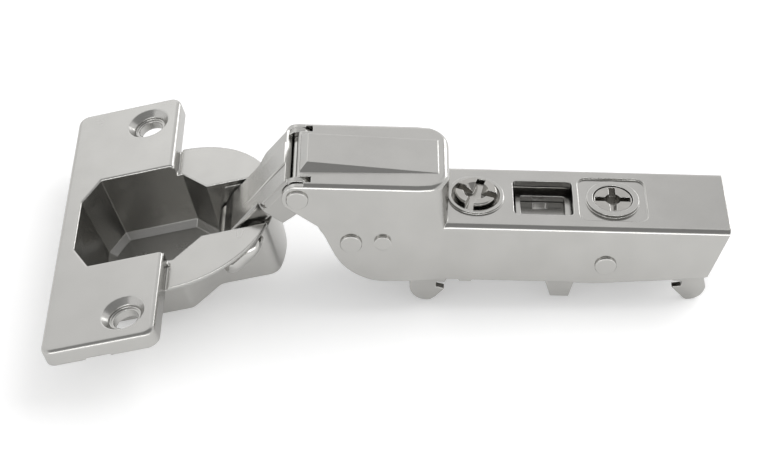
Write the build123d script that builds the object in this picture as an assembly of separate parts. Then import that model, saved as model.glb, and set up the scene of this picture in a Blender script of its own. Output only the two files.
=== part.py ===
from build123d import *
import math
import os

# Concealed cup hinge, half-cranked, shown fully open.
# Frame: X runs along the arm to its rear, Y along the pins, Z up, square to the arm's rear top.
# The origin is the centre of the drilled cup circle, on the upper face of the cup's ears.

# Opening and pivots, side view (X, Z) in the arm's frame
open_tilt = 16.68            # the cup's face leans this far from the arm's line when fully open
closing_turn = 90.0 + open_tilt
pivot_a = Vector(20.66, 11.55)       # outer link on the arm
pivot_b = Vector(29.54, 2.46)        # inner link on the arm
spring_pivot = Vector(34.72, 2.86)   # small pins behind pivot B
rivet_at = Vector(71.70, -1.52)      # rear rivet
lever_pivot = Vector(80.5, -0.6)     # clip lever

# Pivots in the cup's own frame: along the cup, and above the ears
cup_pivot_c = Vector(13.70, -2.45)   # inner link
cup_pivot_d = Vector(8.10, -6.40)    # outer link

# Turns of the links while the cup closes, seen along +Y, and their running gaps
outer_link_turn = -14.0
inner_link_turn = -48.0
run_gap = 0.05
fixed_gap = 0.03

# How far a cut runs past the part: across, and along the arm
reach = 20.0
long_reach = 200.0

# Cup
bore_d = 35.0
screw_spacing = 48.0
screw_line = 6.0
screw_hole_d = 4.2
screw_head_d = 7.4
screw_step_d = 5.4
screw_step_low = 0.9
flange_front = -19.5
flange_back = -0.4
flange_half_length = 30.0
flange_top = 2.34
flange_height = 3.0
flange_corner_r = 2.0
flange_edge_r = 0.8
flange_sheet = 1.2
foot_recess = 0.3
foot_recess_u = (-12.6, -8.4)
boss_d = 10.4
ear_sheet = 0.6
ear_groove = (0.5, 0.35)
rear_rim_low = 1.05
mouth_edge_r = 0.35
mouth_front = -16.33
mouth_front_half = 5.83
mouth_side_at = -13.38
mouth_half = 10.83
throat_half = 6.3
throat_start = 5.1
throat_back = 2.6
throat_r = cup_pivot_c.X + throat_back
bowl_wall = 0.9
bowl_floor = 1.0
bowl_depth = 11.5
bowl_draft = 5.0
bowl_bevel = 1.0
bowl_corner_r = 1.5
throat_corner_r = 2.2
bowl_edge_r = 0.7

# Cup axle, a U-shaped pin of round wire
axle_d = 2.5
axle_bend_r = 1.9
axle_back_v = 8.55
axle_end_v = 8.2

# Outer link
link_sheet = 1.1
plate_offset = 3.1
plate_end = 19.6
outer_half = 6.9
outer_low_half = 5.3
flange_end = 12.5
eye_a_r = 2.7
outer_bend_r = 1.4
flange_low_start = 1.82
flange_low_mid = 2.4
low_flange = 0.85
rib_height = 0.28
rib_y = (-1.9, 3.4)
rib_start = 9.0

# Inner link
inner_half = 4.4
inner_cheek = 1.4
inner_web = 1.2
eye_c_wall = 0.4
slot_gap = 0.25
slot_wall = 1.1
inner_back = (Vector(20.4, 9.55), Vector(24.2, 8.9), Vector(28.2, 6.6))
inner_belly = (Vector(26.2, 4.6), Vector(23.6, 6.6), Vector(20.6, 7.2))

# Pins
pin_r = 1.65
pin_head_r = 1.8
pin_head_h = 0.45
pin_head_edge = 0.15
small_pin_r = 1.2
small_head_r = 1.4
small_pin_in = 4.7

# Arm, a folded channel
arm_sheet = 1.1
arm_gap = 0.3
crank_half = outer_half + arm_gap + arm_sheet
rear_half = 7.7
crank_top = 14.4
rear_top = 6.18
rear_end_top = 91.59
rear_end_low = 88.9
crank_front = 20.3
crank_back = 45.2
crank_corner_r = 4.8
crank_foot_corner_r = 2.0
arm_bend_r = 1.1
arm_eye_r = 2.5
arm_eye_end = -32.0
notch_half = outer_half - link_sheet - run_gap
notch_back = 22.8
notch_step = 1.2
notch_depth = 3.0
tongue_lap = 0.6
tongue_edge_r = 0.8
neck_start = 40.0
neck_end = 45.5
neck_corner_r = 4.0
arm_low = -5.5
arm_rear_low = -3.6
low_step_x = (47.5, 49.8)
low_step = 0.4
low_step_lean = 0.2
crank_curve = ((35.16, -5.79), (31.36, -4.85), (27.98, -1.96), (25.93, 2.12), (24.02, 5.94))

# Raised wedge pressed into the crank's top
wedge_height = 1.3
wedge_front = 20.9
wedge_back = 43.4
wedge_half = 4.9
wedge_slope = 1.3
wedge_rise = 1.2

# Arm top features, along X
side_screw_x = 49.95
side_hole_d = 8.1
side_collar_d = 9.3
side_collar_h = 0.4
window_x = (56.2, 66.1)
window_half = 4.25
window_r = 0.8
cam_x = 72.7
cam_square = (11.3, 10.8)
cam_square_r = 1.6
cam_square_x = 72.65
cam_sink = 0.35
cam_ring_d = 8.7
cam_ring_h = 0.25
cam_disc_d = 6.4
head_gap = 0.15

# Side adjusting screw and depth cam
side_head_d = 7.1
side_cross_turn = -20.0
side_bowl_r = 2.1
side_head_top = 6.85
side_head_edge = 0.3
screw_flange_d = 9.7
screw_flange_h = 0.95
side_shank_d = 5.8
side_shank_low = -2.2
side_shank_edge = 0.6
screw_sway = 0.3
screw_opening = (13.6, 10.4)
screw_opening_r = 1.0
plate_opening_x = (57.6, 65.0)
plate_opening_y = (-4.0, 3.2)
plate_opening_r = 0.5
plate_slot = (2.5, 1.7)
plate_slot_at = (60.95, 2.1)
plate_slot_r = 0.3
cross_width = 1.5
cross_depth = 1.6
cam_cross = (6.3, 1.15)
cam_cross_r = 1.3
cam_cross_depth = 1.2
cam_flange_d = 9.2
cam_throw = 1.5
cam_pin_d = 3.0
cam_turn = 60.0
cam_slot_gap = 0.2
cam_slot_run = 2.2
cam_slot_r = 1.2

# Adapter, the channel that clips to the mounting plate
adapter_sheet = 1.15
adapter_half = 6.4
adapter_top = 3.8
adapter_low = -5.0
adapter_front = 39.7
adapter_plate_x = (42.6, 83.4)
adapter_rear = 84.4
adapter_rear_low = -4.2
adapter_slope = 1.6
adapter_front_slope = 3.2
adapter_bend_r = 1.2
hook_back = 45.4
hook_low = -11.4
tab_x = (63.2, 66.3)
tab_low = -9.9
tab_foot = 0.4

# Slide plate under the adapter's top
slide_sheet = 1.2
slide_gap = 0.1
slide_half = 5.1
slide_cheek = 1.1
slide_x = (45.4, 74.9)
slide_eye_r = 2.9
slide_eye_run = 5.8
slide_foot_x = 66.0
slide_drop = 1.6
slide_collar_r = 4.3
slide_collar_h = 2.2

# Clip lever
lever_half = 5.05
lever_cheek = 1.1
lever_eye_r = 2.3
lever_pin_r = 1.25
lever_web = 1.0
lever_rear = 90.4
lever_low = -11.2

# Springs
spring_wire = 1.1
spring_coil_r = 2.45
coil_pitch = 1.15
coil_gap = 0.1
bridge_height = 6.9
bridge_run = 1.2
lever_wire = 0.7
lever_coil_r = 1.85
lever_coil_turns = 5.0
lever_coil_half = 2.0
lever_leg_end = 2.4

depth_travel = cam_throw * math.sin(math.radians(cam_turn))
slide_top = adapter_top - adapter_sheet - slide_gap
slide_low = slide_top - slide_sheet
arm_under = rear_top - arm_sheet
cup_turn = Rot(0, -open_tilt, 0)


def side_point(point, y=0.0):
    return Vector(point.X, y, point.Y)


def turned(point, degrees):
    angle = math.radians(degrees)
    x = point.X * math.cos(angle) - point.Y * math.sin(angle)
    z = point.X * math.sin(angle) + point.Y * math.cos(angle)
    return Vector(x, z)


def slab(sketch, half):
    """Side-view shape extruded evenly to both sides of the middle plane."""
    return extrude(Plane.XZ * sketch, half, both=True)


def cheeks(sketch, half, thickness):
    """Two side plates of one outline, with their outer faces at the half width."""
    plate = extrude(Plane.XZ * sketch, thickness)
    near = Pos(0, thickness - half, 0) * plate
    far = Pos(0, half, 0) * plate
    return near, far


def cross_pin(point, radius, half):
    return Pos(point.X, 0, point.Y) * Rot(90, 0, 0) * Cylinder(radius, 2 * half)


def hull_of(points, radius):
    edges = ShapeList()
    for point in points:
        edges += (Pos(point.X, point.Y) * Circle(radius)).edges()
    return make_hull(edges)


pivot_c = turned(cup_pivot_c, open_tilt)
pivot_d = turned(cup_pivot_d, open_tilt)


def slot_path():
    """Where pivot B's pin runs in the inner link while the cup closes, as points in the side view."""
    points = []
    steps = 8
    for step in range(steps + 1):
        share = step / steps
        arm_end = pivot_a + turned(pivot_d - pivot_a, -outer_link_turn * share)
        cup_angle = -closing_turn * share
        link_end = arm_end + turned(pivot_c - pivot_d, cup_angle)
        pin = turned(pivot_b - link_end, inner_link_turn * share)
        points.append(pivot_c + pin)
    return points


# Cup: flange, ears and bowl in one piece


def mouth_outline():
    """Plan of the bowl's mouth: an eight-sided front and a narrower throat with a round back."""
    corner_u = math.sqrt(throat_r ** 2 - throat_half ** 2)
    shoulder_u = throat_start - (mouth_half - throat_half)
    near = [
        (corner_u, -throat_half),
        (throat_start, -throat_half),
        (shoulder_u, -mouth_half),
        (mouth_side_at, -mouth_half),
        (mouth_front, -mouth_front_half),
    ]
    far = [(u, -v) for u, v in reversed(near)]
    rim = Polyline(*near, *far)
    back = ThreePointArc(far[-1], (throat_r, 0), near[0])
    return make_face([rim, back])


def hinge_cup():
    mouth = mouth_outline()
    outside = offset(mouth, bowl_wall, kind=Kind.INTERSECTION)
    flange_low = flange_top - flange_height
    flange_mid = (flange_front + flange_back) / 2
    flange_length = flange_back - flange_front
    plan = Pos(flange_mid, 0) * RectangleRounded(flange_length, 2 * flange_half_length, flange_corner_r)
    flange = Pos(0, 0, flange_low) * extrude(plan, flange_height)
    flange = fillet(flange.faces().sort_by(Axis.Z)[-1].edges(), flange_edge_r)
    inner = offset(plan, -flange_sheet)
    hollow = Pos(0, 0, flange_low) * extrude(inner, flange_height - flange_sheet)
    bosses = Sketch() + [Pos(-screw_line, side * screw_spacing / 2) * Circle(boss_d / 2) for side in (-1, 1)]
    hollow -= Pos(0, 0, flange_low) * extrude(bosses, flange_height)
    hollow -= Pos(0, 0, flange_low) * extrude(outside, flange_height)
    flange -= hollow
    recess_mid = sum(foot_recess_u) / 2
    recess_length = foot_recess_u[1] - foot_recess_u[0]
    flange -= Pos(recess_mid, 0, flange_low) * Box(recess_length, 2.1 * flange_half_length, 2 * foot_recess)

    disc = Circle(bore_d / 2) & Pos(bore_d / 2 + flange_back - flange_sheet, 0) * Rectangle(bore_d, bore_d)
    disc -= Pos(throat_start + bore_d / 2, 0) * Rectangle(bore_d, 2 * throat_half)
    ears = Pos(0, 0, -ear_sheet) * extrude(disc, ear_sheet)

    bowl_top = -ear_sheet
    bowl = Pos(0, 0, bowl_top) * extrude(outside, bowl_depth - ear_sheet, dir=(0, 0, -1), taper=bowl_draft)
    upright = bowl.edges().filter_by(lambda edge: abs(edge.tangent_at(0.5).Z) > 0.5)
    bowl = fillet(upright.filter_by(lambda edge: edge.center().X < 0.6 * throat_r), bowl_corner_r)
    upright = bowl.edges().filter_by(lambda edge: abs(edge.tangent_at(0.5).Z) > 0.5)
    bowl = fillet(upright.filter_by(lambda edge: edge.center().X > 0.6 * throat_r), throat_corner_r)
    bowl = fillet(bowl.faces().sort_by(Axis.Z)[0].edges(), bowl_edge_r)
    collar = Pos(0, 0, bowl_top) * extrude(outside, flange_top - flange_sheet / 2 - bowl_top)
    collar &= Pos(flange_back - bore_d, 0, 0) * Box(2 * bore_d, bore_d, bore_d)
    cavity = Pos(0, 0, bowl_top) * extrude(
        mouth, bowl_depth - ear_sheet - bowl_floor, dir=(0, 0, -1), taper=bowl_draft
    )
    cavity = chamfer(cavity.faces().sort_by(Axis.Z)[0].edges(), bowl_bevel)
    cup = flange + ears + bowl + collar
    cup -= cavity
    cup -= Pos(0, 0, bowl_top) * extrude(mouth, bore_d)
    cup -= Pos(throat_r, 0, 0) * Box(throat_r, 2 * throat_half, 2 * rear_rim_low)
    step_h = flange_top - screw_step_low
    cone_h = (screw_head_d - screw_step_d) / 2
    for side in (-1, 1):
        at = Pos(-screw_line, side * screw_spacing / 2, 0)
        cup -= at * Cylinder(screw_hole_d / 2, 4 * flange_height)
        cup -= at * Pos(0, 0, screw_step_low) * extrude(Circle(screw_step_d / 2), 2 * step_h)
        cup -= at * Pos(0, 0, flange_top - cone_h / 2) * Cone(screw_step_d / 2, screw_head_d / 2, cone_h)
        groove_y = mouth_half + bowl_wall + bore_d / 2
        groove = Pos(flange_back + ear_groove[0] / 2, side * groove_y, 0)
        cup -= groove * Box(ear_groove[0], bore_d, 2 * ear_groove[1])
    rim = cup.edges().filter_by(lambda edge: abs(edge.center().Z - flange_top) < 0.01)
    mouth_rim = rim.filter_by(
        lambda edge: abs(edge.center().Y) < mouth_half + 0.05 and edge.center().X < flange_back - 0.5
    )
    cup = fillet(mouth_rim.filter_by(lambda edge: edge.center().X > flange_front + 1.5), mouth_edge_r)
    for pivot in (cup_pivot_c, cup_pivot_d):
        cup -= cross_pin(pivot, axle_d / 2 + fixed_gap, bore_d / 2)
    return cup_turn * cup


def cup_axle():
    c = cup_pivot_c
    d = cup_pivot_d
    route = FilletPolyline(
        side_point(c, axle_end_v),
        side_point(c, -axle_back_v),
        side_point(d, -axle_back_v),
        side_point(d, axle_end_v),
        radius=axle_bend_r,
    )
    section = Plane(origin=route @ 0, z_dir=route % 0) * Circle(axle_d / 2)
    return cup_turn * sweep(section, path=route)


# Outer link: a pressed plate with side flanges at the arm and a rolled eye in the cup


def link_plane():
    along = pivot_a - pivot_d
    return Plane(origin=side_point(pivot_d), x_dir=side_point(along), z_dir=(0, -1, 0))


def outer_link():
    plane = link_plane()
    length = (pivot_a - pivot_d).length
    hole_d = axle_d / 2 + run_gap
    eye_d = hole_d + link_sheet
    inside = plate_offset - link_sheet
    plate = Polygon(
        (plate_end, plate_offset),
        (4.4, plate_offset),
        (1.0, eye_d - 0.1),
        (1.3, hole_d + 0.1),
        (4.8, inside),
        (plate_end, inside),
        align=None,
    )
    section = plate + Circle(eye_d)
    section -= Circle(hole_d)
    low = extrude(plane * section, outer_half, both=True)
    width_plane = Plane(origin=plane.origin, x_dir=plane.x_dir, z_dir=plane.y_dir)
    near = [
        (-2 * eye_d, -outer_low_half),
        (flange_end - 1.1, -outer_low_half),
        (flange_end + 0.9, -outer_half),
        (plate_end + 1, -outer_half),
    ]
    plan = Polygon(*near, *[(s, -y) for s, y in reversed(near)], align=None)
    bends = plan.vertices().filter_by(lambda v: abs(v.X - flange_end) < 2)
    plan = fillet(bends, 1.2)
    low &= extrude(width_plane * plan, reach, both=True)
    cheek_face = Polygon(
        (3.4, plate_offset - 0.3),
        (flange_end + 1.5, plate_offset - 0.3),
        (flange_end + 1.5, -0.2),
        (9.9, 0.1),
        (8.7, 1.3),
        (5.4, 1.3),
        align=None,
    )
    cheek = extrude(plane * cheek_face, outer_low_half, both=True)
    cheek -= extrude(plane * cheek_face, outer_low_half - low_flange, both=True)
    low += cheek
    long_rims = low.edges().filter_by(
        lambda edge: abs(abs(edge.center().Y) - outer_low_half) < 0.01
        and abs((edge.center() - plane.origin).dot(plane.y_dir) - plate_offset) < 0.01
    )
    low = fillet(long_rims, 0.6)

    eye = Pos(length, 0) * Circle(eye_a_r)
    flange = Polygon(
        (flange_end, plate_offset),
        (flange_end, -flange_low_start),
        (flange_end + 2.5, -flange_low_mid),
        (length, -eye_a_r),
        (length, 0),
        (plate_end, plate_offset),
        align=None,
    )
    trough = extrude(plane * (flange + eye), outer_half, both=True)
    top_face = trough.faces().filter_by(lambda face: abs(face.normal_at().dot(plane.y_dir) - 1) < 0.001)
    rims = ShapeList()
    for face in top_face:
        rims += [edge for edge in face.edges() if abs((edge % 0.5).dot(plane.x_dir)) > 0.99]
    trough = fillet(rims, outer_bend_r)
    hollow_face = Polygon(
        (flange_end - 5, inside),
        (flange_end - 5, -reach),
        (length + reach, -reach),
        (length + reach, reach),
        (plate_end, reach),
        (plate_end, inside),
        align=None,
    )
    hollow = extrude(plane * hollow_face, outer_half - link_sheet, both=True)
    trough -= hollow
    rib_mid = sum(rib_y) / 2
    rib_length = rib_y[1] - rib_y[0]
    across = Plane(origin=plane.origin, x_dir=(0, 1, 0), z_dir=plane.x_dir)
    tall = Rectangle(rib_length, 2 * rib_height)
    flat = Rectangle(rib_length + 0.4, 0.04)
    panel = loft(
        [
            across * Pos(rib_mid, plate_offset, rib_start) * flat,
            across * Pos(rib_mid, plate_offset, plate_end) * tall,
        ],
        ruled=True,
    )
    body = low + trough + panel
    beyond = Pos(length, 0) * Circle(pin_r + run_gap)
    body -= extrude(plane * beyond, reach, both=True)
    return body


# Inner link: an arched channel with an eye on the cup axle and a clearance slot round pivot B


def inner_link():
    c = pivot_c
    eye_r = axle_d / 2 + run_gap + eye_c_wall
    along = (pivot_a - pivot_d).normalized()
    across = Vector(-along.Y, along.X)

    def off(s, t):
        return c + along * s + across * t

    upper = [off(0, eye_r), off(5.6, eye_r), *inner_back]
    lower = [*inner_belly, off(6.3, -1.5), off(4.4, -0.3), off(1.4, 0.12)]
    top_edge = Spline(*[(p.X, p.Y) for p in upper[1:]])
    low_edge = Spline(*[(p.X, p.Y) for p in lower[:5]])
    outline = [
        Line((upper[0].X, upper[0].Y), (upper[1].X, upper[1].Y)),
        top_edge,
        Line((upper[-1].X, upper[-1].Y), (lower[0].X, lower[0].Y)),
        low_edge,
        Line((lower[4].X, lower[4].Y), (lower[5].X, lower[5].Y)),
        Line((lower[5].X, lower[5].Y), (upper[0].X, upper[0].Y)),
    ]
    near_eye = [
        c + turned(pivot_d - c, (inner_link_turn - closing_turn) * share) for share in (1.0, 0.92, 0.84)
    ]
    neck = make_face(outline) - hull_of(near_eye, axle_d / 2 + run_gap + link_sheet + slot_gap)
    path = slot_path()
    lobe = hull_of(path, pin_r + slot_gap + slot_wall)
    slot = hull_of(path, pin_r + slot_gap)
    side = neck + lobe + Pos(c.X, c.Y) * Circle(eye_r)
    body = slab(side, inner_half)
    gap = inner_half - inner_cheek
    trough = neck + lobe
    hollow = slab(Pos(0, -inner_web) * trough, gap) & slab(trough, gap)
    hollow -= cross_pin(c, eye_r + 0.4, inner_half)
    body -= hollow
    body -= slab(slot, 2 * inner_half)
    body -= cross_pin(c, axle_d / 2 + run_gap, 2 * inner_half)
    return body


# Pins and rivets


def headed_pin(point, radius, head_r, half):
    pin = cross_pin(point, radius, half)
    for side in (-1, 1):
        head = cross_pin(point, head_r, pin_head_h / 2)
        head = chamfer(head.faces().sort_by(Axis.Y)[0 if side < 0 else -1].edges(), pin_head_edge)
        pin += Pos(0, side * (half + pin_head_h / 2 + fixed_gap), 0) * head
    pin += cross_pin(point, radius, half + pin_head_h / 2)
    return pin


def spring_pin(side):
    half = (crank_half - small_pin_in) / 2
    stub = cross_pin(spring_pivot, small_pin_r, half + fixed_gap)
    head = cross_pin(spring_pivot, small_head_r, pin_head_h / 2)
    pin = Pos(0, side * (small_pin_in + half), 0) * stub
    return pin + Pos(0, side * (crank_half + fixed_gap + pin_head_h / 2), 0) * head


# Hinge arm


def arm_side_outline():
    """Side view of the walls and the low top, from the round front end to the slanted rear end."""
    eye_low = pivot_a + turned(Vector(0, -arm_eye_r), arm_eye_end)
    eye_left = pivot_a + Vector(-arm_eye_r, 0)
    eye_top = pivot_a + Vector(0, arm_eye_r)
    front = ThreePointArc((eye_low.X, eye_low.Y), (eye_left.X, eye_left.Y), (eye_top.X, eye_top.Y))
    top = Polyline(
        (eye_top.X, eye_top.Y),
        (notch_back - notch_step, eye_top.Y),
        (notch_back - notch_step, crank_top),
        (neck_start, crank_top),
        (neck_start, rear_top),
        (rear_end_top, rear_top),
        (rear_end_low, arm_rear_low),
        (rear_end_low - 0.6, arm_rear_low - 0.25),
        (rear_end_low - 5.9, arm_low + 1.03),
        (rear_end_low - 18.9, arm_low - 0.2),
        (rear_end_low - 21.9, arm_low - 0.1),
        (rear_end_low - 26.9, arm_low),
        (low_step_x[1], arm_low),
        (low_step_x[1] - low_step_lean, arm_low - low_step),
        (low_step_x[0] + low_step_lean, arm_low - low_step),
        (low_step_x[0], arm_low),
        (low_step_x[0] - 1.8, arm_low),
        crank_curve[0],
    )
    belly = Spline(*crank_curve)
    throat = Line(crank_curve[-1], (eye_low.X, eye_low.Y))
    return make_face([front, top, belly, throat])


def arm_plan(inset):
    """Plan of the walls, wide along the crank and narrower behind it."""
    wide = crank_half - inset
    slim = rear_half - inset
    beyond = 2 * rear_end_top
    near = [(0, -wide), (neck_start, -wide), (neck_end, -slim), (beyond, -slim)]
    far = [(x, -y) for x, y in reversed(near)]
    plan = Polygon(*near, *far, align=None)
    corners = plan.vertices().filter_by(lambda v: abs(v.X - neck_start) < 0.1 or abs(v.X - neck_end) < 0.1)
    return fillet(corners, neck_corner_r)


def crank_cap(inset, low):
    """Rear end of the crank above the low top, with its two corners rounded in plan."""
    back = crank_back - inset
    front = neck_start - crank_corner_r
    plan = Pos((front + back) / 2, 0) * Rectangle(back - front, 2 * (crank_half - inset))
    corners = plan.vertices().filter_by(lambda v: v.X > neck_start)
    foot_plan = fillet(corners, crank_foot_corner_r - inset)
    top_plan = fillet(corners, crank_corner_r - inset)
    cap = loft([Pos(0, 0, low) * foot_plan, Pos(0, 0, crank_top - inset) * top_plan], ruled=True)
    return cap & extrude(arm_plan(inset), long_reach, both=True)


def arm_wedge():
    """Solid of the raised wedge: high near the front, running out to the rear."""
    def across(x):
        return Plane(origin=(x, 0, crank_top), x_dir=(0, 1, 0), z_dir=(1, 0, 0))

    low = -0.05

    def section(half, top_half, height):
        return Polygon((-half, low), (half, low), (top_half, height), (-top_half, height), align=None)

    toe = section(wedge_half, wedge_half - 0.15, 0.1)
    tall = section(wedge_half, wedge_half - wedge_slope, wedge_height)
    flat = section(wedge_half - 0.6, wedge_half - 0.7, 0.08)
    front = loft([across(wedge_front) * toe, across(wedge_front + wedge_rise) * tall], ruled=True)
    return front + loft([across(wedge_front + wedge_rise) * tall, across(wedge_back) * flat], ruled=True)


def hinge_arm():
    outer = slab(arm_side_outline(), crank_half) & extrude(arm_plan(0), long_reach, both=True)
    outer += crank_cap(0, rear_top - arm_sheet)
    top_edges = ShapeList()
    for edge in outer.edges():
        middle = edge @ 0.5
        along_side = abs(middle.Y) > rear_half - 0.05
        crank_line = abs(middle.Z - crank_top) < 0.02 and middle.X > notch_back
        rear_line = abs(middle.Z - rear_top) < 0.02 and middle.X > neck_end
        if edge.length > 0.3 and (crank_line or (along_side and rear_line)):
            top_edges.append(edge)
    outer = fillet(top_edges, arm_bend_r)
    outer -= Pos(0, 0, crank_top) * Box(2 * notch_back, 2 * (crank_half - arm_sheet), 2 * notch_depth)
    inner_outline = Polygon(
        (0, -reach),
        (0, crank_top - arm_sheet),
        (neck_start, crank_top - arm_sheet),
        (neck_start, arm_under),
        (2 * rear_end_top, arm_under),
        (2 * rear_end_top, -reach),
        align=None,
    )
    inner = slab(inner_outline, crank_half) & extrude(arm_plan(arm_sheet), long_reach, both=True)
    inner += crank_cap(arm_sheet, 0)
    wedge = arm_wedge()
    arm = outer + wedge
    arm -= inner
    arm -= Pos(0, 0, -arm_sheet) * wedge
    tongue_length = notch_back - crank_front + tongue_lap
    tongue = Pos(crank_front + tongue_length / 2, 0, crank_top - arm_sheet / 2) * Box(
        tongue_length, 2 * notch_half, arm_sheet
    )
    tongue_rim = tongue.edges().filter_by(Axis.Y).group_by(Axis.X)[0].sort_by(Axis.Z)[-1]
    tongue = fillet(tongue_rim, tongue_edge_r)
    tongue -= Pos(0, 0, -arm_sheet) * wedge
    arm += tongue

    hole = Pos(side_screw_x, 0, rear_top)
    arm += hole * extrude(Circle(side_collar_d / 2), side_collar_h)
    arm -= hole * Cylinder(side_hole_d / 2, reach)
    window_mid = sum(window_x) / 2
    window = RectangleRounded(window_x[1] - window_x[0], 2 * window_half, window_r)
    arm -= Pos(window_mid, 0, 0) * extrude(window, reach)
    sink = RectangleRounded(*cam_square, cam_square_r)
    arm -= Pos(cam_square_x, 0, rear_top - cam_sink) * extrude(sink, reach)
    ring = Circle(cam_ring_d / 2)
    arm += Pos(cam_x, 0, rear_top - cam_sink) * extrude(ring, cam_sink + cam_ring_h)
    arm -= Pos(cam_x, 0, rear_top) * Cylinder(cam_disc_d / 2 + head_gap, reach)
    for point, radius in (
        (pivot_a, pin_r + fixed_gap),
        (pivot_b, pin_r + fixed_gap),
        (spring_pivot, small_pin_r + fixed_gap),
        (rivet_at, pin_r + run_gap),
    ):
        arm -= cross_pin(point, radius, reach)
    return arm


# Adjusting screws


def cross_slots(length, width, depth):
    bar = Rectangle(length, width)
    return extrude(bar + Rot(0, 0, 90) * bar, depth)


def side_adjust_screw():
    head_low = arm_under - run_gap
    head = Pos(0, 0, head_low) * extrude(Circle(side_head_d / 2), side_head_top - head_low)
    head = chamfer(head.faces().sort_by(Axis.Z)[-1].edges(), side_head_edge)
    slots = Rot(0, 0, side_cross_turn) * cross_slots(2 * side_head_d, cross_width, reach)
    head -= Pos(0, 0, side_head_top - cross_depth) * slots
    head -= Pos(0, 0, side_head_top - cross_depth / 2) * Cone(side_bowl_r / 2, side_bowl_r, cross_depth)
    flange = Pos(0, 0, head_low - screw_flange_h) * extrude(Circle(screw_flange_d / 2), screw_flange_h)
    shank = Pos(0, 0, side_shank_low) * extrude(Circle(side_shank_d / 2), head_low - side_shank_low)
    shank = chamfer(shank.faces().sort_by(Axis.Z)[0].edges(), side_shank_edge)
    return Pos(side_screw_x, 0, 0) * (head + flange + shank)


def depth_cam_screw():
    head_low = arm_under - run_gap
    disc_top = rear_top + 0.1
    disc = Pos(0, 0, head_low) * extrude(Circle(cam_disc_d / 2), disc_top - head_low)
    disc -= Pos(0, 0, disc_top - cam_cross_depth) * cross_slots(*cam_cross, reach)
    disc -= Pos(0, 0, disc_top - cam_cross_depth) * extrude(Circle(cam_cross_r), reach)
    flange = Pos(0, 0, head_low - screw_flange_h) * extrude(Circle(cam_flange_d / 2), screw_flange_h)
    pin_low = slide_top + 0.1
    pin = Pos(0, cam_throw, pin_low) * extrude(Circle(cam_pin_d / 2), head_low - pin_low)
    return Pos(cam_x, 0, 0) * (disc + flange + pin)


# Slide plate


def slide_plate():
    side = Polygon(
        (slide_x[0], slide_top),
        (slide_x[1], slide_top),
        (slide_x[1], rivet_at.Y),
        (slide_x[1] - slide_eye_run, rivet_at.Y),
        (slide_foot_x, slide_low - slide_drop),
        (slide_x[0], slide_low - slide_drop),
        align=None,
    )
    side += Pos(rivet_at.X, rivet_at.Y) * Circle(slide_eye_r)
    body = slab(side, slide_half)
    between = Rectangle(2 * long_reach, 2 * (slide_half - slide_cheek))
    body -= Pos(0, 0, slide_low - reach) * extrude(between, reach)
    collar = extrude(Circle(slide_collar_r), slide_collar_h + slide_sheet / 2)
    body += Pos(side_screw_x, 0, slide_low - slide_collar_h) * collar
    body -= Pos(side_screw_x, 0, 0) * Cylinder(side_shank_d / 2 + screw_sway, reach)
    body -= Pos(*plate_slot_at, 0) * extrude(RectangleRounded(*plate_slot, plate_slot_r), reach)
    body -= cross_pin(rivet_at, pin_r + fixed_gap, reach)
    return body


# Adapter


def adapter_outline():
    wall = Polyline(
        (adapter_plate_x[0], adapter_top),
        (adapter_plate_x[1], adapter_top),
        (adapter_rear, adapter_top - adapter_slope),
        (adapter_rear - 0.6, adapter_rear_low),
        (tab_x[1] + 1.6, adapter_low),
        (tab_x[1] + 0.9, adapter_low - tab_foot),
        (tab_x[1], tab_low),
        (tab_x[0], tab_low),
        (tab_x[0] - 1.5, adapter_low - tab_foot),
        (tab_x[0] - 2.2, adapter_low),
        (hook_back + 1.0, adapter_low),
        (hook_back, hook_low + 4.0),
        (hook_back - 1.5, hook_low + 4.0),
        (hook_back - 1.5, hook_low + 2.9),
        (hook_back, hook_low + 2.5),
        (hook_back - 1.4, hook_low + 0.7),
        (hook_back - 2.2, hook_low),
    )
    toe = Spline(
        (hook_back - 2.2, hook_low),
        (hook_back - 4.7, hook_low + 0.5),
        (adapter_front - 0.1, hook_low + 2.3),
        (adapter_front, hook_low + 3.8),
    )
    front = Polyline(
        (adapter_front, hook_low + 3.8),
        (adapter_front, adapter_top - adapter_front_slope),
        (adapter_plate_x[0], adapter_top),
    )
    return make_face([wall, toe, front])


def adapter_plate():
    body = slab(adapter_outline(), adapter_half)
    body = fillet(body.edges().filter_by(Axis.X).group_by(Axis.Z)[-1], adapter_bend_r)
    between = Box(2 * long_reach, 2 * (adapter_half - adapter_sheet), 2 * reach)
    body -= Pos(0, 0, adapter_top - adapter_sheet - reach) * between
    opening = RectangleRounded(*screw_opening, screw_opening_r)
    body -= Pos(side_screw_x, 0, 0) * extrude(opening, reach)
    middle_size = (plate_opening_x[1] - plate_opening_x[0], plate_opening_y[1] - plate_opening_y[0])
    middle = RectangleRounded(*middle_size, plate_opening_r)
    body -= Pos(sum(plate_opening_x) / 2, sum(plate_opening_y) / 2, 0) * extrude(middle, reach)
    cam_slot = RectangleRounded(cam_pin_d + 2 * cam_slot_gap, cam_pin_d + cam_slot_run, cam_slot_r)
    body -= Pos(cam_x, cam_throw - 2 * cam_slot_gap, 0) * extrude(cam_slot, reach)
    slot = SlotCenterToCenter(2 * depth_travel, 2 * (pin_r + run_gap))
    body -= slab(Pos(rivet_at.X, rivet_at.Y) * slot, reach)
    body -= cross_pin(lever_pivot, lever_pin_r + fixed_gap, reach)
    return body


# Clip lever


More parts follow.
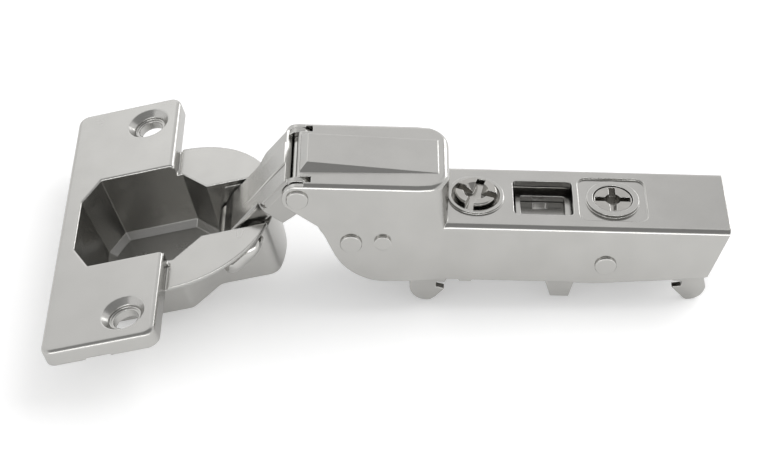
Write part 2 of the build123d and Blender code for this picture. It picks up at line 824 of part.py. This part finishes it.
def clip_lever():
    outline = Polyline(
        (lever_pivot.X - 1.0, lever_pivot.Y + lever_eye_r),
        (lever_pivot.X + 3.0, lever_pivot.Y + 1.3),
        (lever_rear - 0.8, lever_pivot.Y + 0.9),
        (lever_rear, lever_pivot.Y - 0.4),
        (lever_rear - 1.5, lever_low + 5.0),
        (lever_rear - 1.0, lever_low + 3.0),
    )
    toe = Spline(
        (lever_rear - 1.0, lever_low + 3.0),
        (lever_rear - 2.1, lever_low + 0.6),
        (lever_rear - 4.0, lever_low),
    )
    front = Polyline(
        (lever_rear - 4.0, lever_low),
        (lever_rear - 4.5, lever_low + 0.3),
        (lever_rear - 6.7, lever_low + 2.7),
        (lever_rear - 5.1, lever_low + 3.0),
        (lever_rear - 5.1, lever_low + 4.0),
        (lever_rear - 6.7, lever_low + 4.2),
        (lever_rear - 8.8, lever_pivot.Y - lever_eye_r),
        (lever_pivot.X - 1.0, lever_pivot.Y - lever_eye_r),
        (lever_pivot.X - 1.0, lever_pivot.Y + lever_eye_r),
    )
    side = make_face([outline, toe, front]) + Pos(lever_pivot.X, lever_pivot.Y) * Circle(lever_eye_r)
    near, far = cheeks(side, lever_half, lever_cheek)
    web_face = Polygon(
        (lever_rear - 6.4, lever_pivot.Y + 1.27),
        (lever_rear - 0.8, lever_pivot.Y + 0.9),
        (lever_rear, lever_pivot.Y - 0.4),
        (lever_rear - 0.8, lever_pivot.Y - 1.0),
        (lever_rear - 1.5, lever_pivot.Y - 0.1),
        (lever_rear - 6.4, lever_pivot.Y + 1.27 - lever_web),
        align=None,
    )
    body = near + far + slab(web_face, lever_half)
    body -= cross_pin(lever_pivot, lever_pin_r + run_gap, reach)
    return body


# Springs


def coil(point, radius, wire, turns, start_y, end_y):
    pitch = abs(end_y - start_y) / turns
    helix = Helix(pitch, pitch * turns, radius)
    section = Plane(origin=helix @ 0, z_dir=helix % 0) * Circle(wire / 2)
    spring = sweep(section, path=helix, is_frenet=True)
    turn = Rot(90, 0, 0) if end_y < start_y else Rot(-90, 0, 0)
    return Pos(point.X, start_y, point.Y) * turn * spring


def rod(start, end, radius):
    axis = Vector(end) - Vector(start)
    body = extrude(Plane(origin=start, z_dir=axis) * Circle(radius), axis.length)
    return body + Pos(*start) * Sphere(radius) + Pos(*end) * Sphere(radius)


def closing_spring():
    """Double torsion spring: two coils on the rear link pin, joined by a bridge over the inner link."""
    b = pivot_b
    wire_r = spring_wire / 2
    coil_y = inner_half + coil_gap + wire_r
    pitch = spring_wire * coil_pitch
    turns = Pos(b.X, coil_y, b.Y) * Rot(-90, 0, 0) * Helix(pitch, pitch, spring_coil_r)
    high = b.Y + bridge_height
    bridge_end = (b.X, coil_y - bridge_run, high)
    lead = (b.X + 0.3, coil_y, high - 1.4)
    under = spring_pivot.Y - small_pin_r - wire_r - coil_gap
    rest = Vector(spring_pivot.X, coil_y + pitch, under)
    route = Wire([
        Line((b.X, 0, high), bridge_end).edge(),
        Spline(bridge_end, lead, turns @ 0, tangents=((0, 1, 0), turns % 0)).edge(),
        turns.edge(),
        Spline(turns @ 1, rest, tangents=(turns % 1, (1, 0, 0))).edge(),
        Line(rest, rest + Vector(small_pin_r, 0, 0)).edge(),
    ])
    section = Plane(origin=route @ 0, z_dir=route % 0) * Circle(wire_r)
    half = sweep(section, path=route)
    return half + mirror(half, Plane.XZ)


def lever_spring():
    wire_r = lever_wire / 2
    half = lever_coil_half
    body = coil(lever_pivot, lever_coil_r, lever_wire, lever_coil_turns, -half, half)
    low = (lever_pivot.X + lever_coil_r, -half, lever_pivot.Y)
    body += rod(low, (lever_rear - lever_leg_end, -half, lever_pivot.Y - 0.75), wire_r)
    high = (lever_pivot.X + lever_coil_r, half, lever_pivot.Y)
    body += rod(high, (high[0], half, adapter_top - adapter_sheet - wire_r - 0.05), wire_r)
    return body


nodes = {
    "hinge_cup": hinge_cup,
    "cup_axle": cup_axle,
    "outer_link": outer_link,
    "inner_link": inner_link,
    "hinge_arm": hinge_arm,
    "front_link_pin": lambda: headed_pin(pivot_a, pin_r, pin_head_r, crank_half),
    "rear_link_pin": lambda: headed_pin(pivot_b, pin_r, pin_head_r, crank_half),
    "near_spring_pin": lambda: spring_pin(-1),
    "far_spring_pin": lambda: spring_pin(1),
    "closing_spring": closing_spring,
    "side_adjust_screw": side_adjust_screw,
    "depth_cam_screw": depth_cam_screw,
    "slide_plate": slide_plate,
    "rear_rivet": lambda: headed_pin(rivet_at, pin_r, pin_head_r, rear_half),
    "adapter_plate": adapter_plate,
    "clip_lever": clip_lever,
    "lever_pin": lambda: cross_pin(lever_pivot, lever_pin_r, adapter_half - 0.1),
    "lever_spring": lever_spring,
}

os.makedirs("parts", exist_ok=True)
for name, make in nodes.items():
    solid = make()
    solid.label = name
    export_step(solid, f"parts/{name}.step")
    print(name, round(solid.volume, 2), len(solid.solids()))
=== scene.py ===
import bpy
import math
from mathutils import Matrix, Vector


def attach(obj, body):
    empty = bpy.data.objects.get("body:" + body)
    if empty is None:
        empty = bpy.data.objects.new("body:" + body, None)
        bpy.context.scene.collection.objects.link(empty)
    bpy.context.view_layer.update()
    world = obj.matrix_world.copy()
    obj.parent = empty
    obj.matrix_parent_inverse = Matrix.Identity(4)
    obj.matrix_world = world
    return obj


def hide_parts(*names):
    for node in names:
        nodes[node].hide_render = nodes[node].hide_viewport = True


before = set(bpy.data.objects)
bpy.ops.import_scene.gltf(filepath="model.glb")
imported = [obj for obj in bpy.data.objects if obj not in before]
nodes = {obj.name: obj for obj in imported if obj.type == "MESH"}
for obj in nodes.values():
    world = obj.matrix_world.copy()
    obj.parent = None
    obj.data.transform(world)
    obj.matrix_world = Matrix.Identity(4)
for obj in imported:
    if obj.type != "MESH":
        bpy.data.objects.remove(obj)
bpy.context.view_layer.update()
bpy.ops.object.select_all(action="DESELECT")
scene = bpy.context.scene
scene.view_settings.view_transform = "Standard"
mm = 0.001
print("frame loaded:", len(nodes), "nodes")


def linearColour(hexText):
    parts = [int(hexText[i:i + 2], 16) / 255 for i in (1, 3, 5)]
    return [c / 12.92 if c <= 0.04045 else ((c + 0.055) / 1.055) ** 2.4 for c in parts] + [1.0]


def addNode(tree, kind, settings=None, links=None):
    node = tree.nodes.new(kind)  # names in lower case are the node's own settings, the others its inputs
    for key, value in (settings or {}).items():
        if isinstance(key, str) and key[0].islower():
            setattr(node, key, value)
        else:
            node.inputs[key].default_value = value
    for key, source in (links or {}).items():
        tree.links.new(source, node.inputs[key])
    return node


def blankMaterial(name):
    material = bpy.data.materials.new(name)
    material.use_nodes = True
    material.node_tree.nodes.clear()
    return material, material.node_tree


# Nickel over cold-rolled steel: a soft mirror, greyish and a little warm, bright where a bend turns
satinNickel = {
    "colour": "#B9B8B5", "handled": "#B4B3B0", "rough": 0.2, "roughRange": 0.03,
    "cloudMm": 7.0, "grainMm": 0.22, "grainDepthMm": 0.001, "rollMm": 0.35, "edgeMm": 0.2,
}
# The outer link wears the same nickel painted a shade darker, a painted shade
shadedLinkNickel = {
    "colour": "#ABAAA7", "handled": "#A7A6A3", "rough": 0.2, "roughRange": 0.03,
    "cloudMm": 6.0, "grainMm": 0.22, "grainDepthMm": 0.001, "rollMm": 0.35, "edgeMm": 0.2,
}
# The cup is plated the same way over a rougher pressing, so it mirrors less sharply
cupNickel = {
    "colour": "#B9B8B5", "handled": "#B5B4B1", "rough": 0.26, "roughRange": 0.03,
    "cloudMm": 8.0, "grainMm": 0.4, "grainDepthMm": 0.001, "rollMm": 0.5, "edgeMm": 0.35,
}
# Drawn and polished pins: nearly a mirror
brightNickel = {
    "colour": "#C4C3C0", "handled": "#BDBCB9", "rough": 0.12, "roughRange": 0.03,
    "cloudMm": 3.0, "grainMm": 0.12, "grainDepthMm": 0.0005, "rollMm": 0.2, "edgeMm": 0.1,
}
# Zinc-plated screw steel: a little greyer, with a fine tumbled grain
zincSteel = {
    "colour": "#B4B2AE", "handled": "#ABA9A5", "rough": 0.18, "roughRange": 0.04,
    "cloudMm": 2.5, "grainMm": 0.18, "grainDepthMm": 0.0015, "rollMm": 0.3, "edgeMm": 0.14,
}
# Patented spring wire, oiled: dark grey with drawing marks
springWire = {
    "colour": "#77756F", "handled": "#66645F", "rough": 0.32, "roughRange": 0.08,
    "cloudMm": 1.5, "grainMm": 0.1, "grainDepthMm": 0.004, "rollMm": 0.2, "edgeMm": 0.05,
}
# What all the metals share, with a painted highlight that lightens every edge: ranges are (from, to)
plating = {
    "bump": 0.05, "rollShare": 0.5, "rollStretch": 0.08, "edgeSamples": 8,
    "edgeHighlight": "#D8D7D4", "highlightLean": (0.995, 0.85), "tintCloud": (0.35, 0.7), "roughCloud": (0.3, 0.72),
}


def platedMetal(name, look):
    material, tree = blankMaterial(name)
    place = addNode(tree, "ShaderNodeTexCoord").outputs["Object"]
    cloud = addNode(tree, "ShaderNodeTexNoise", {
        "Scale": 1 / (look["cloudMm"] * mm), "Detail": 3.0, "Roughness": 0.55,
    }, {"Vector": place})  # handling marks, uneven plating
    grain = addNode(tree, "ShaderNodeTexNoise", {
        "Scale": 1 / (look["grainMm"] * mm), "Detail": 2.0, "Roughness": 0.6,
    }, {"Vector": place})  # orange peel of the plating
    rollPlace = addNode(tree, "ShaderNodeMapping", {
        "Scale": (plating["rollStretch"], 1.0, 1.0),
    }, {"Vector": place})
    roll = addNode(tree, "ShaderNodeTexNoise", {
        "Scale": 1 / (look["rollMm"] * mm), "Detail": 2.0, "Roughness": 0.5,
    }, {"Vector": rollPlace.outputs["Vector"]})  # faint rolling lines, drawn coarse enough to show
    relief = addNode(tree, "ShaderNodeMath", {"operation": "MULTIPLY_ADD", 1: plating["rollShare"]}, {
        0: roll.outputs["Fac"], 2: grain.outputs["Fac"],
    })
    edge = addNode(tree, "ShaderNodeBevel", {
        "samples": plating["edgeSamples"], "Radius": look["edgeMm"] * mm,
    })
    bump = addNode(tree, "ShaderNodeBump", {
        "Strength": plating["bump"], "Distance": look["grainDepthMm"] * mm,
    }, {"Height": relief.outputs["Value"], "Normal": edge.outputs["Normal"]})
    face = addNode(tree, "ShaderNodeNewGeometry")
    lean = addNode(tree, "ShaderNodeVectorMath", {"operation": "DOT_PRODUCT"}, {
        0: edge.outputs["Normal"], 1: face.outputs["Normal"],
    })
    highlightShare = addNode(tree, "ShaderNodeMapRange", {
        "From Min": plating["highlightLean"][0], "From Max": plating["highlightLean"][1],
    }, {"Value": lean.outputs["Value"]})  # edges painted lighter, a painted highlight
    blend = addNode(tree, "ShaderNodeMapRange", {
        "From Min": plating["tintCloud"][0], "From Max": plating["tintCloud"][1],
    }, {"Value": cloud.outputs["Fac"]})
    # A colour mix takes its colours on inputs 6 and 7 and gives its result on output 2
    colour = addNode(tree, "ShaderNodeMix", {
        "data_type": "RGBA", 6: linearColour(look["colour"]), 7: linearColour(look["handled"]),
    }, {"Factor": blend.outputs["Result"]})
    # Painted highlight: the lighter colour laid along the edges
    edgeHighlight = addNode(tree, "ShaderNodeMix", {
        "data_type": "RGBA", 7: linearColour(plating["edgeHighlight"]),
    }, {"Factor": highlightShare.outputs["Result"], 6: colour.outputs[2]})
    rough = addNode(tree, "ShaderNodeMapRange", {
        "From Min": plating["roughCloud"][0], "From Max": plating["roughCloud"][1],
        "To Min": look["rough"] - look["roughRange"] / 2, "To Max": look["rough"] + look["roughRange"] / 2,
    }, {"Value": cloud.outputs["Fac"]})
    shader = addNode(tree, "ShaderNodeBsdfPrincipled", {"Metallic": 1.0}, {
        "Base Color": edgeHighlight.outputs[2],
        "Roughness": rough.outputs["Result"],
        "Normal": bump.outputs["Normal"],
    })
    addNode(tree, "ShaderNodeOutputMaterial", None, {"Surface": shader.outputs["BSDF"]})
    return material


finishes = {
    "satin nickel plated steel": (satinNickel, [
        "hinge_arm", "inner_link", "adapter_plate", "slide_plate", "clip_lever",
        "front_link_pin", "rear_link_pin", "rear_rivet", "near_spring_pin", "far_spring_pin",
    ]),
    "nickel plated link": (shadedLinkNickel, ["outer_link"]),
    "nickel plated cup": (cupNickel, ["hinge_cup"]),
    "bright nickel pins": (brightNickel, ["cup_axle", "lever_pin"]),
    "zinc plated screws": (zincSteel, ["side_adjust_screw", "depth_cam_screw"]),
    "oiled spring wire": (springWire, ["closing_spring", "lever_spring"]),
}
metals = {}
for finishName, (look, wearers) in finishes.items():
    metal = platedMetal(finishName, look)
    for nodeName in wearers:
        owner = nodes[nodeName]
        owner.data.materials.clear()
        owner.data.materials.append(metal)
    metals[finishName] = metal
print("metals done")


# Adjusting screws, with deeper and sharper recesses than the CAD nodes, in mm.
# Rings are (radius, height) from the bottom up, a slot is (length, width), a pin (throw, radius, low end).
sideScrew = {
    "name": "side_screw_head", "node": "side_adjust_screw", "body": "side_screw",
    "at": (49.95, 0.0), "turn": -20.0,
    "rings": [
        (2.3, -2.2), (2.9, -1.6), (2.9, 4.08), (4.85, 4.08), (4.85, 5.03), (3.5, 5.03),
        (3.5, 7.25), (3.3, 7.45), (2.15, 7.45), (0.9, 6.2), (0.3, 6.1),
    ],
    "slot": (8.0, 1.45), "slotFloor": 5.9, "pin": None, "round": 0.1,
}
camScrew = {
    "name": "depth_cam_disc", "node": "depth_cam_screw", "body": "depth_cam",
    "at": (72.7, 0.0), "turn": 0.0,
    "rings": [
        (4.6, 4.08), (4.6, 5.03), (3.2, 5.03), (3.2, 6.2),
        (3.12, 6.28), (1.35, 6.28), (1.2, 4.4), (0.3, 4.35),
    ],
    "slot": (5.9, 1.1), "slotFloor": 4.35, "pin": (1.5, 1.5, 2.65), "round": 0.06,
}
screwMaking = {
    "sides": 96, "pinSides": 48, "pinLap": 0.4, "cutHeight": 4.0,
    "rimSegments": 2, "rimAngle": 35, "smoothAngle": 30,
}


def combine(piece, tool, operation):
    join = piece.modifiers.new("join", "BOOLEAN")
    join.operation = operation
    join.solver = "EXACT"
    join.object = tool
    bpy.context.view_layer.objects.active = piece
    bpy.ops.object.modifier_apply(modifier=join.name)
    bpy.data.objects.remove(tool)


def cutBox(piece, centre, size, turn):
    bpy.ops.mesh.primitive_cube_add(size=1.0, location=(0, 0, 0))
    box = bpy.context.object
    box.data.transform(
        Matrix.Translation([c * mm for c in centre])
        @ Matrix.Rotation(math.radians(turn), 4, "Z")
        @ Matrix.Diagonal([s * mm for s in size] + [1.0])
    )
    combine(piece, box, "DIFFERENCE")


def makeScrew(spec):
    (radius, height), *rest = spec["rings"]
    bpy.ops.mesh.primitive_circle_add(
        vertices=screwMaking["sides"], radius=radius * mm, fill_type="NGON", location=(0, 0, 0)
    )
    piece = bpy.context.object
    piece.name = spec["name"]
    piece.data.transform(Matrix.Translation((0, 0, height * mm)))
    bpy.ops.object.mode_set(mode="EDIT")
    bpy.ops.mesh.select_mode(type="FACE")
    bpy.ops.mesh.select_all(action="SELECT")
    for nextRadius, nextHeight in rest:
        rise = (nextHeight - height) * mm
        bpy.ops.mesh.extrude_region_move(TRANSFORM_OT_translate={"value": (0, 0, rise)})
        grow = nextRadius / radius
        bpy.ops.transform.resize(value=(grow, grow, 1.0))
        radius, height = nextRadius, nextHeight
    bpy.ops.mesh.select_all(action="SELECT")
    bpy.ops.mesh.normals_make_consistent(inside=False)
    bpy.ops.object.mode_set(mode="OBJECT")
    if spec["pin"]:
        throw, pinRadius, pinLow = spec["pin"]
        pinLength = spec["rings"][0][1] - pinLow + screwMaking["pinLap"]
        bpy.ops.mesh.primitive_cylinder_add(
            vertices=screwMaking["pinSides"], radius=pinRadius * mm, depth=pinLength * mm, location=(0, 0, 0)
        )
        pin = bpy.context.object
        pin.data.transform(Matrix.Translation((0, throw * mm, (pinLow + pinLength / 2) * mm)))
        combine(piece, pin, "UNION")
    slotLength, slotWidth = spec["slot"]
    tall = screwMaking["cutHeight"]
    for quarter in (0.0, 90.0):
        middle = (0, 0, spec["slotFloor"] + tall / 2)
        cutBox(piece, middle, (slotLength, slotWidth, tall), spec["turn"] + quarter)
    x, y = spec["at"]
    piece.data.transform(Matrix.Translation((x * mm, y * mm, 0)))
    rim = piece.modifiers.new("rim", "BEVEL")
    rim.width = spec["round"] * mm
    rim.segments = screwMaking["rimSegments"]
    rim.limit_method = "ANGLE"
    rim.angle_limit = math.radians(screwMaking["rimAngle"])
    bpy.ops.object.modifier_apply(modifier=rim.name)
    bpy.ops.object.shade_smooth_by_angle(angle=math.radians(screwMaking["smoothAngle"]))
    piece.data.materials.append(metals["zinc plated screws"])
    piece.select_set(False)
    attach(piece, spec["body"])
    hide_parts(spec["node"])


makeScrew(sideScrew)
makeScrew(camScrew)
print("screws done")


# Floor, tipped to the plane that the cup's bottom and the rear hook stand on: feet as (x, z) and drop in mm,
# size in metres. Its lift whitens it where it is seen, and by the mirrored share where the metal mirrors it.
whitePaper = {
    "cupFoot": (-11.4, -15.4), "hookFoot": (87.0, -11.25), "size": 4.0, "drop": 0.05,
    "colour": "#F4F4F4", "rough": 0.3, "lift": 0.3, "mirrored": 0.65,
}


def makeFloor(paper):
    (x1, z1), (x2, z2) = paper["cupFoot"], paper["hookFoot"]
    tip = math.atan2(z2 - z1, x2 - x1)
    bpy.ops.mesh.primitive_plane_add(size=paper["size"], location=(0, 0, 0))
    floor = bpy.context.object
    floor.name = "floor"
    floor.data.transform(
        Matrix.Translation((x1 * mm, 0, (z1 - paper["drop"]) * mm)) @ Matrix.Rotation(-tip, 4, "Y")
    )
    floor.select_set(False)
    material, tree = blankMaterial("matt white paper")
    path = addNode(tree, "ShaderNodeLightPath")
    seen = addNode(tree, "ShaderNodeMath", {
        "operation": "MULTIPLY_ADD", "use_clamp": True, 1: paper["mirrored"],
    }, {0: path.outputs["Is Glossy Ray"], 2: path.outputs["Is Camera Ray"]})
    seenAll = addNode(tree, "ShaderNodeMath", {"operation": "ADD", "use_clamp": True}, {
        0: seen.outputs["Value"], 1: path.outputs["Is Transmission Ray"],
    })
    plain = addNode(tree, "ShaderNodeBsdfDiffuse", {
        "Color": linearColour(paper["colour"]), "Roughness": paper["rough"],
    })
    lift = addNode(tree, "ShaderNodeEmission", {"Color": linearColour("#FFFFFF"), "Strength": paper["lift"]})
    lifted = addNode(tree, "ShaderNodeAddShader", None, {
        0: plain.outputs["BSDF"], 1: lift.outputs["Emission"],
    })
    mixed = addNode(tree, "ShaderNodeMixShader", None, {
        0: seenAll.outputs["Value"], 1: plain.outputs["BSDF"], 2: lifted.outputs["Shader"],
    })
    addNode(tree, "ShaderNodeOutputMaterial", None, {"Surface": mixed.outputs["Shader"]})
    floor.data.materials.append(material)


makeFloor(whitePaper)

# Room: white where it is seen or mirrored, softer where it only lights
roomLight = {"lit": 0.72, "seen": 1.0}
world = bpy.data.worlds.new("white room")
scene.world = world
world.use_nodes = True
room = world.node_tree
room.nodes.clear()
path = addNode(room, "ShaderNodeLightPath")
seen = addNode(room, "ShaderNodeMath", {"operation": "ADD", "use_clamp": True}, {
    0: path.outputs["Is Camera Ray"], 1: path.outputs["Is Glossy Ray"],
})
seenAll = addNode(room, "ShaderNodeMath", {"operation": "ADD", "use_clamp": True}, {
    0: seen.outputs["Value"], 1: path.outputs["Is Transmission Ray"],
})
strength = addNode(room, "ShaderNodeMapRange", {
    "To Min": roomLight["lit"], "To Max": roomLight["seen"],
}, {"Value": seenAll.outputs["Value"]})
shine = addNode(room, "ShaderNodeBackground", {"Color": linearColour("#FFFFFF")}, {
    "Strength": strength.outputs["Result"],
})
addNode(room, "ShaderNodeOutputWorld", None, {"Surface": shine.outputs["Background"]})

# Lamps in metres and watts, each for the metal or for the paper alone, turned to the middle of the hinge
lampAim = Vector((0.03, 0, 0))
lamps = {
    "key": {
        "at": (0.30, 0.10, 0.45), "size": (0.45, 0.45), "power": 1.3, "inMetal": False, "onPaper": True,
    },
    "back": {
        "at": (-0.12, 0.62, 0.20), "size": (0.46, 0.33), "power": 0.12, "inMetal": True, "onPaper": False,
    },
    "window": {
        "at": (-0.27, 0.62, 0.43), "size": (0.17, 0.26), "power": 0.036, "inMetal": True, "onPaper": False,
    },
    "right": {
        "at": (0.42, 0.48, 0.22), "size": (0.26, 0.22), "power": 0.6, "inMetal": True, "onPaper": False,
    },
    "strip": {
        "at": (0.03, -0.55, 0.17), "size": (1.2, 0.12), "power": 1.3, "inMetal": True, "onPaper": False,
    },
}
for lampName, lamp in lamps.items():
    lampData = bpy.data.lights.new(lampName, "AREA")
    lampData.shape = "RECTANGLE"
    lampData.size, lampData.size_y = lamp["size"]
    lampData.energy = lamp["power"]
    light = bpy.data.objects.new(lampName, lampData)
    scene.collection.objects.link(light)
    light.location = lamp["at"]
    light.visible_glossy = lamp["inMetal"]
    light.visible_diffuse = lamp["onPaper"]
    light.rotation_euler = (lampAim - Vector(lamp["at"])).to_track_quat("-Z", "Y").to_euler()

# Cards seen only in the metal, in metres: one over the camera gives the bends their dark line and the bowl
# its depth, a lighter one behind shades the arm's rear top
cards = {
    "grey_card": {"low": (-0.6, -0.62, 0.42), "high": (0.65, 0.16, 0.50), "shade": 0.36},
    "rear_card": {"low": (0.20, 0.60, 0.42), "high": (0.60, 0.64, 0.75), "shade": 0.8},
}


def makeCard(name, card):
    (x1, y1, z1), (x2, y2, z2) = card["low"], card["high"]
    bpy.ops.mesh.primitive_plane_add(size=1.0, location=(0, 0, 0))
    sheet = bpy.context.object
    sheet.name = name
    tilt = math.atan2(z2 - z1, y2 - y1)
    sheet.data.transform(
        Matrix.Translation(((x1 + x2) / 2, (y1 + y2) / 2, (z1 + z2) / 2))
        @ Matrix.Rotation(tilt, 4, "X")
        @ Matrix.Diagonal((x2 - x1, math.hypot(y2 - y1, z2 - z1), 1, 1))
    )
    sheet.select_set(False)
    material, tree = blankMaterial(name)
    glow = addNode(tree, "ShaderNodeEmission", {
        "Color": linearColour("#FFFFFF"), "Strength": card["shade"],
    })
    addNode(tree, "ShaderNodeOutputMaterial", None, {"Surface": glow.outputs["Emission"]})
    sheet.data.materials.append(material)
    sheet.visible_camera = False
    sheet.visible_diffuse = False
    sheet.visible_shadow = False
    sheet.visible_transmission = False


for cardName, card in cards.items():
    makeCard(cardName, card)
print("floor, room, lamps and cards done")

# Camera, its place in mm, with the focal length in pixels of a picture as wide as stated
view = {
    "at": (28.66, -274.0, 240.35), "forward": (0.01564, 0.7481, -0.6634), "up": (-0.02511, 0.66356, 0.7477),
    "focalPx": 2179.36, "widthPx": 760, "sensorMm": 36.0, "nearClip": 0.01,
}
cameraData = bpy.data.cameras.new("camera")
cameraData.sensor_width = view["sensorMm"]
cameraData.lens = view["sensorMm"] * view["focalPx"] / view["widthPx"]
cameraData.clip_start = view["nearClip"]
camera = bpy.data.objects.new("camera", cameraData)
scene.collection.objects.link(camera)
forward = Vector(view["forward"]).normalized()
rightWay = forward.cross(Vector(view["up"])).normalized()
upWay = rightWay.cross(forward)
turn = Matrix((rightWay, upWay, -forward)).transposed().to_4x4()
camera.matrix_world = Matrix.Translation(Vector(view["at"]) * mm) @ turn
scene.camera = camera
print("camera done")
